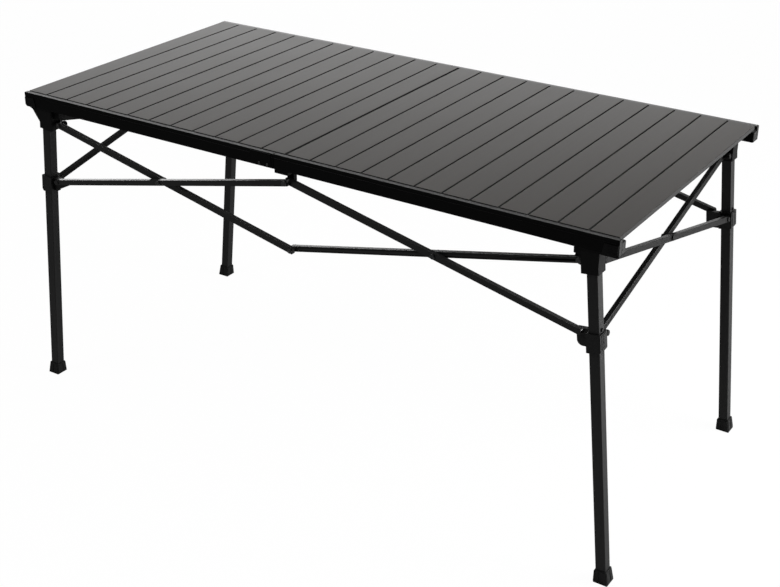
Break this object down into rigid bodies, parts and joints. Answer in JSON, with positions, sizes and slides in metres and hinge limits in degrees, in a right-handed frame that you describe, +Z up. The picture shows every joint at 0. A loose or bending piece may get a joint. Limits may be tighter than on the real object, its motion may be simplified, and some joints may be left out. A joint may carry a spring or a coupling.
{
  "type": "roll top camp table",
  "caption": "Folding camp table: a slatted top that rolls up rests on two long rails, carried by splayed square legs in a scissor frame with sliding collars.",
  "frame": {"origin": "on the floor, below the middle of the bounding box", "axes": "+X along the length, +Y across the width towards the back, +Z up; the front faces -Y"},
  "size_m": [1.4742, 0.6842, 0.715],
  "materials": {
    "slat_coat": "matt grey coat",
    "rail_coat": "satin black coat",
    "frame_coat": "satin black coat",
    "bracket_plastic": "moulded black plastic"
  },
  "bodies": {
    "deck": {"rail_front_left": "rail_coat", "rail_front_right": "rail_coat", "rail_back_left": "rail_coat", "rail_back_right": "rail_coat", "rail_joint_front": "rail_coat", "rail_joint_back": "rail_coat", "slat_11": "slat_coat", "slat_12": "slat_coat", "slat_13": "slat_coat", "slat_14": "slat_coat"},
    "leg_front_left": {"leg_front_left": "frame_coat", "foot_front_left": "bracket_plastic", "top_bracket_front_left": "bracket_plastic"},
    "slide_collar_front_left": {"slide_collar_front_left": "bracket_plastic"},
    "low_bar_front_left": {"low_bar_front_left": "frame_coat"},
    "high_bar_front_left": {"high_bar_front_left": "frame_coat"},
    "leg_front_right": {"leg_front_right": "frame_coat", "foot_front_right": "bracket_plastic", "top_bracket_front_right": "bracket_plastic"},
    "slide_collar_front_right": {"slide_collar_front_right": "bracket_plastic"},
    "low_bar_front_right": {"low_bar_front_right": "frame_coat"},
    "high_bar_front_right": {"high_bar_front_right": "frame_coat"},
    "leg_back_left": {"leg_back_left": "frame_coat", "foot_back_left": "bracket_plastic", "top_bracket_back_left": "bracket_plastic"},
    "slide_collar_back_left": {"slide_collar_back_left": "bracket_plastic"},
    "low_bar_back_left": {"low_bar_back_left": "frame_coat"},
    "high_bar_back_left": {"high_bar_back_left": "frame_coat"},
    "leg_back_right": {"leg_back_right": "frame_coat", "foot_back_right": "bracket_plastic", "top_bracket_back_right": "bracket_plastic"},
    "slide_collar_back_right": {"slide_collar_back_right": "bracket_plastic"},
    "low_bar_back_right": {"low_bar_back_right": "frame_coat"},
    "high_bar_back_right": {"high_bar_back_right": "frame_coat"},
    "side_bar_outer_left": {"side_bar_outer_left": "frame_coat"},
    "side_bar_inner_left": {"side_bar_inner_left": "frame_coat"},
    "side_bar_outer_right": {"side_bar_outer_right": "frame_coat"},
    "side_bar_inner_right": {"side_bar_inner_right": "frame_coat"},
    "lock_button_front_right": {"lock_button_front_right": "bracket_plastic"},
    "lock_button_back_right": {"lock_button_back_right": "bracket_plastic"},
    "slat_10": {"slat_10": "slat_coat"},
    "slat_15": {"slat_15": "slat_coat"},
    "slat_09": {"slat_09": "slat_coat"},
    "slat_16": {"slat_16": "slat_coat"},
    "slat_08": {"slat_08": "slat_coat"},
    "slat_17": {"slat_17": "slat_coat"},
    "slat_07": {"slat_07": "slat_coat"},
    "slat_18": {"slat_18": "slat_coat"},
    "slat_06": {"slat_06": "slat_coat"},
    "slat_19": {"slat_19": "slat_coat"},
    "slat_05": {"slat_05": "slat_coat"},
    "slat_20": {"slat_20": "slat_coat"},
    "slat_04": {"slat_04": "slat_coat"},
    "slat_21": {"slat_21": "slat_coat"},
    "slat_03": {"slat_03": "slat_coat"},
    "slat_22": {"slat_22": "slat_coat"},
    "slat_02": {"slat_02": "slat_coat"},
    "slat_23": {"slat_23": "slat_coat"},
    "slat_01": {"slat_01": "slat_coat"},
    "slat_24": {"slat_24": "slat_coat"}
  },
  "joints": [
    {"name": "frame_fold", "type": "hinge", "parent": "deck", "child": "low_bar_front_left", "pos_m": [0, -0.321, 0.65649], "axis": [0, -1, 0], "range_deg": [0, 61]},
    {"name": "high_bar_front_left_turn", "type": "hinge", "parent": "low_bar_front_left", "child": "high_bar_front_left", "pos_m": [-0.33163, -0.321, 0.58257], "axis": [0, 1, 0], "range_deg": [0, 122.01]},
    {"name": "leg_front_left_turn", "type": "hinge", "parent": "high_bar_front_left", "child": "leg_front_left", "pos_m": [-0.62067, -0.321, 0.647], "axis": [0, -1, 0], "range_deg": [0, 66.71]},
    {"name": "side_bar_outer_left_turn", "type": "hinge", "parent": "leg_front_left", "child": "side_bar_outer_left", "pos_m": [-0.6526, -0.2975, 0.64941], "axis": [-0.9943, 0, 0.1063], "range_deg": [0, 61.02]},
    {"name": "side_bar_inner_left_turn", "type": "hinge", "parent": "side_bar_outer_left", "child": "side_bar_inner_left", "pos_m": [-0.65994, 0, 0.58067], "axis": [0.9943, 0, -0.1063], "range_deg": [0, 122.03]},
    {"name": "slide_collar_front_left_turn", "type": "hinge", "parent": "side_bar_inner_left", "child": "slide_collar_front_left", "pos_m": [-0.66729, -0.2975, 0.51194], "axis": [-0.9943, 0, 0.1063], "range_deg": [0, 61.02]},
    {"name": "slide_collar_back_left_turn", "type": "hinge", "parent": "side_bar_outer_left", "child": "slide_collar_back_left", "pos_m": [-0.66729, 0.2975, 0.51194], "axis": [0.9943, 0, -0.1063], "range_deg": [0, 61.02]},
    {"name": "leg_back_left_turn", "type": "hinge", "parent": "side_bar_inner_left", "child": "leg_back_left", "pos_m": [-0.6526, 0.2975, 0.64941], "axis": [-0.9943, 0, 0.1063], "range_deg": [0, 61.02]},
    {"name": "high_bar_back_left_turn", "type": "hinge", "parent": "leg_back_left", "child": "high_bar_back_left", "pos_m": [-0.62067, 0.321, 0.647], "axis": [0, 1, 0], "range_deg": [0, 66.71]},
    {"name": "low_bar_back_left_turn", "type": "hinge", "parent": "high_bar_back_left", "child": "low_bar_back_left", "pos_m": [-0.33163, 0.321, 0.58257], "axis": [0, -1, 0], "range_deg": [0, 122.01]},
    {"name": "low_bar_front_right_turn", "type": "hinge", "parent": "deck", "child": "low_bar_front_right", "pos_m": [0, -0.321, 0.65649], "axis": [0, 1, 0], "range_deg": [0, 61.01]},
    {"name": "high_bar_front_right_turn", "type": "hinge", "parent": "low_bar_front_right", "child": "high_bar_front_right", "pos_m": [0.33163, -0.321, 0.58257], "axis": [0, -1, 0], "range_deg": [0, 122.01]},
    {"name": "leg_front_right_turn", "type": "hinge", "parent": "high_bar_front_right", "child": "leg_front_right", "pos_m": [0.62067, -0.321, 0.647], "axis": [0, 1, 0], "range_deg": [0, 66.71]},
    {"name": "side_bar_outer_right_turn", "type": "hinge", "parent": "leg_front_right", "child": "side_bar_outer_right", "pos_m": [0.6526, -0.2975, 0.64941], "axis": [-0.9943, 0, -0.1063], "range_deg": [0, 61.02]},
    {"name": "side_bar_inner_right_turn", "type": "hinge", "parent": "side_bar_outer_right", "child": "side_bar_inner_right", "pos_m": [0.65994, 0, 0.58067], "axis": [0.9943, 0, 0.1063], "range_deg": [0, 122.03]},
    {"name": "slide_collar_front_right_turn", "type": "hinge", "parent": "side_bar_inner_right", "child": "slide_collar_front_right", "pos_m": [0.66729, -0.2975, 0.51194], "axis": [-0.9943, 0, -0.1063], "range_deg": [0, 61.02]},
    {"name": "slide_collar_back_right_turn", "type": "hinge", "parent": "side_bar_outer_right", "child": "slide_collar_back_right", "pos_m": [0.66729, 0.2975, 0.51194], "axis": [0.9943, 0, 0.1063], "range_deg": [0, 61.02]},
    {"name": "leg_back_right_turn", "type": "hinge", "parent": "side_bar_inner_right", "child": "leg_back_right", "pos_m": [0.6526, 0.2975, 0.64941], "axis": [-0.9943, 0, -0.1063], "range_deg": [0, 61.02]},
    {"name": "high_bar_back_right_turn", "type": "hinge", "parent": "leg_back_right", "child": "high_bar_back_right", "pos_m": [0.62067, 0.321, 0.647], "axis": [0, -1, 0], "range_deg": [0, 66.71]},
    {"name": "low_bar_back_right_turn", "type": "hinge", "parent": "high_bar_back_right", "child": "low_bar_back_right", "pos_m": [0.33163, 0.321, 0.58257], "axis": [0, 1, 0], "range_deg": [0, 122.01]},
    {"name": "lock_button_front_right_press", "type": "slide", "parent": "leg_front_right", "child": "lock_button_front_right", "axis": [-0.9943, 0, -0.1063], "range_m": [0, 0.0024], "stiffness_N_per_m": 300, "springref_m": -0.002},
    {"name": "lock_button_back_right_press", "type": "slide", "parent": "leg_back_right", "child": "lock_button_back_right", "axis": [-0.9943, 0, -0.1063], "range_m": [0, 0.0024], "stiffness_N_per_m": 300, "springref_m": -0.002},
    {"name": "slat_10_turn", "type": "hinge", "parent": "deck", "child": "slat_10", "pos_m": [-0.1166, 0, 0.715], "axis": [0, 1, 0], "range_deg": [0, 32]},
    {"name": "slat_15_turn", "type": "hinge", "parent": "deck", "child": "slat_15", "pos_m": [0.1166, 0, 0.715], "axis": [0, -1, 0], "range_deg": [0, 32]},
    {"name": "slat_09_turn", "type": "hinge", "parent": "slat_10", "child": "slat_09", "pos_m": [-0.1749, 0, 0.715], "axis": [0, 1, 0], "range_deg": [0, 33.78]},
    {"name": "slat_16_turn", "type": "hinge", "parent": "slat_15", "child": "slat_16", "pos_m": [0.1749, 0, 0.715], "axis": [0, -1, 0], "range_deg": [0, 33.78]},
    {"name": "slat_08_turn", "type": "hinge", "parent": "slat_09", "child": "slat_08", "pos_m": [-0.2332, 0, 0.715], "axis": [0, 1, 0], "range_deg": [0, 37.03]},
    {"name": "slat_17_turn", "type": "hinge", "parent": "slat_16", "child": "slat_17", "pos_m": [0.2332, 0, 0.715], "axis": [0, -1, 0], "range_deg": [0, 37.03]},
    {"name": "slat_07_turn", "type": "hinge", "parent": "slat_08", "child": "slat_07", "pos_m": [-0.2915, 0, 0.715], "axis": [0, 1, 0], "range_deg": [0, 41.24]},
    {"name": "slat_18_turn", "type": "hinge", "parent": "slat_17", "child": "slat_18", "pos_m": [0.2915, 0, 0.715], "axis": [0, -1, 0], "range_deg": [0, 41.24]},
    {"name": "slat_06_turn", "type": "hinge", "parent": "slat_07", "child": "slat_06", "pos_m": [-0.3498, 0, 0.715], "axis": [0, 1, 0], "range_deg": [0, 46.22]},
    {"name": "slat_19_turn", "type": "hinge", "parent": "slat_18", "child": "slat_19", "pos_m": [0.3498, 0, 0.715], "axis": [0, -1, 0], "range_deg": [0, 46.22]},
    {"name": "slat_05_turn", "type": "hinge", "parent": "slat_06", "child": "slat_05", "pos_m": [-0.4081, 0, 0.715], "axis": [0, 1, 0], "range_deg": [0, 51.88]},
    {"name": "slat_20_turn", "type": "hinge", "parent": "slat_19", "child": "slat_20", "pos_m": [0.4081, 0, 0.715], "axis": [0, -1, 0], "range_deg": [0, 51.88]},
    {"name": "slat_04_turn", "type": "hinge", "parent": "slat_05", "child": "slat_04", "pos_m": [-0.4664, 0, 0.715], "axis": [0, 1, 0], "range_deg": [0, 58.13]},
    {"name": "slat_21_turn", "type": "hinge", "parent": "slat_20", "child": "slat_21", "pos_m": [0.4664, 0, 0.715], "axis": [0, -1, 0], "range_deg": [0, 58.13]},
    {"name": "slat_03_turn", "type": "hinge", "parent": "slat_04", "child": "slat_03", "pos_m": [-0.5247, 0, 0.715], "axis": [0, 1, 0], "range_deg": [0, 64.92]},
    {"name": "slat_22_turn", "type": "hinge", "parent": "slat_21", "child": "slat_22", "pos_m": [0.5247, 0, 0.715], "axis": [0, -1, 0], "range_deg": [0, 64.92]},
    {"name": "slat_02_turn", "type": "hinge", "parent": "slat_03", "child": "slat_02", "pos_m": [-0.583, 0, 0.715], "axis": [0, 1, 0], "range_deg": [0, 72.23]},
    {"name": "slat_23_turn", "type": "hinge", "parent": "slat_22", "child": "slat_23", "pos_m": [0.583, 0, 0.715], "axis": [0, -1, 0], "range_deg": [0, 72.23]},
    {"name": "slat_01_turn", "type": "hinge", "parent": "slat_02", "child": "slat_01", "pos_m": [-0.6413, 0, 0.715], "axis": [0, 1, 0], "range_deg": [0, 80]},
    {"name": "slat_24_turn", "type": "hinge", "parent": "slat_23", "child": "slat_24", "pos_m": [0.6413, 0, 0.715], "axis": [0, -1, 0], "range_deg": [0, 80]}
  ],
  "couplings": [
    {"joint": "high_bar_front_left_turn", "follows": "frame_fold", "ratio": 2},
    {"joint": "leg_front_left_turn", "follows": "frame_fold", "ratio": 1.0934},
    {"joint": "side_bar_outer_left_turn", "follows": "frame_fold", "ratio": 1.0002},
    {"joint": "side_bar_inner_left_turn", "follows": "frame_fold", "ratio": 2.0003},
    {"joint": "slide_collar_front_left_turn", "follows": "frame_fold", "ratio": 1.0002},
    {"joint": "slide_collar_back_left_turn", "follows": "frame_fold", "ratio": 1.0002},
    {"joint": "leg_back_left_turn", "follows": "frame_fold", "ratio": 1.0002},
    {"joint": "high_bar_back_left_turn", "follows": "frame_fold", "ratio": 1.0934},
    {"joint": "low_bar_back_left_turn", "follows": "frame_fold", "ratio": 2},
    {"joint": "low_bar_front_right_turn", "follows": "frame_fold", "ratio": 1},
    {"joint": "high_bar_front_right_turn", "follows": "frame_fold", "ratio": 2},
    {"joint": "leg_front_right_turn", "follows": "frame_fold", "ratio": 1.0934},
    {"joint": "side_bar_outer_right_turn", "follows": "frame_fold", "ratio": 1.0002},
    {"joint": "side_bar_inner_right_turn", "follows": "frame_fold", "ratio": 2.0003},
    {"joint": "slide_collar_front_right_turn", "follows": "frame_fold", "ratio": 1.0002},
    {"joint": "slide_collar_back_right_turn", "follows": "frame_fold", "ratio": 1.0002},
    {"joint": "leg_back_right_turn", "follows": "frame_fold", "ratio": 1.0002},
    {"joint": "high_bar_back_right_turn", "follows": "frame_fold", "ratio": 1.0934},
    {"joint": "low_bar_back_right_turn", "follows": "frame_fold", "ratio": 2}
  ]
}
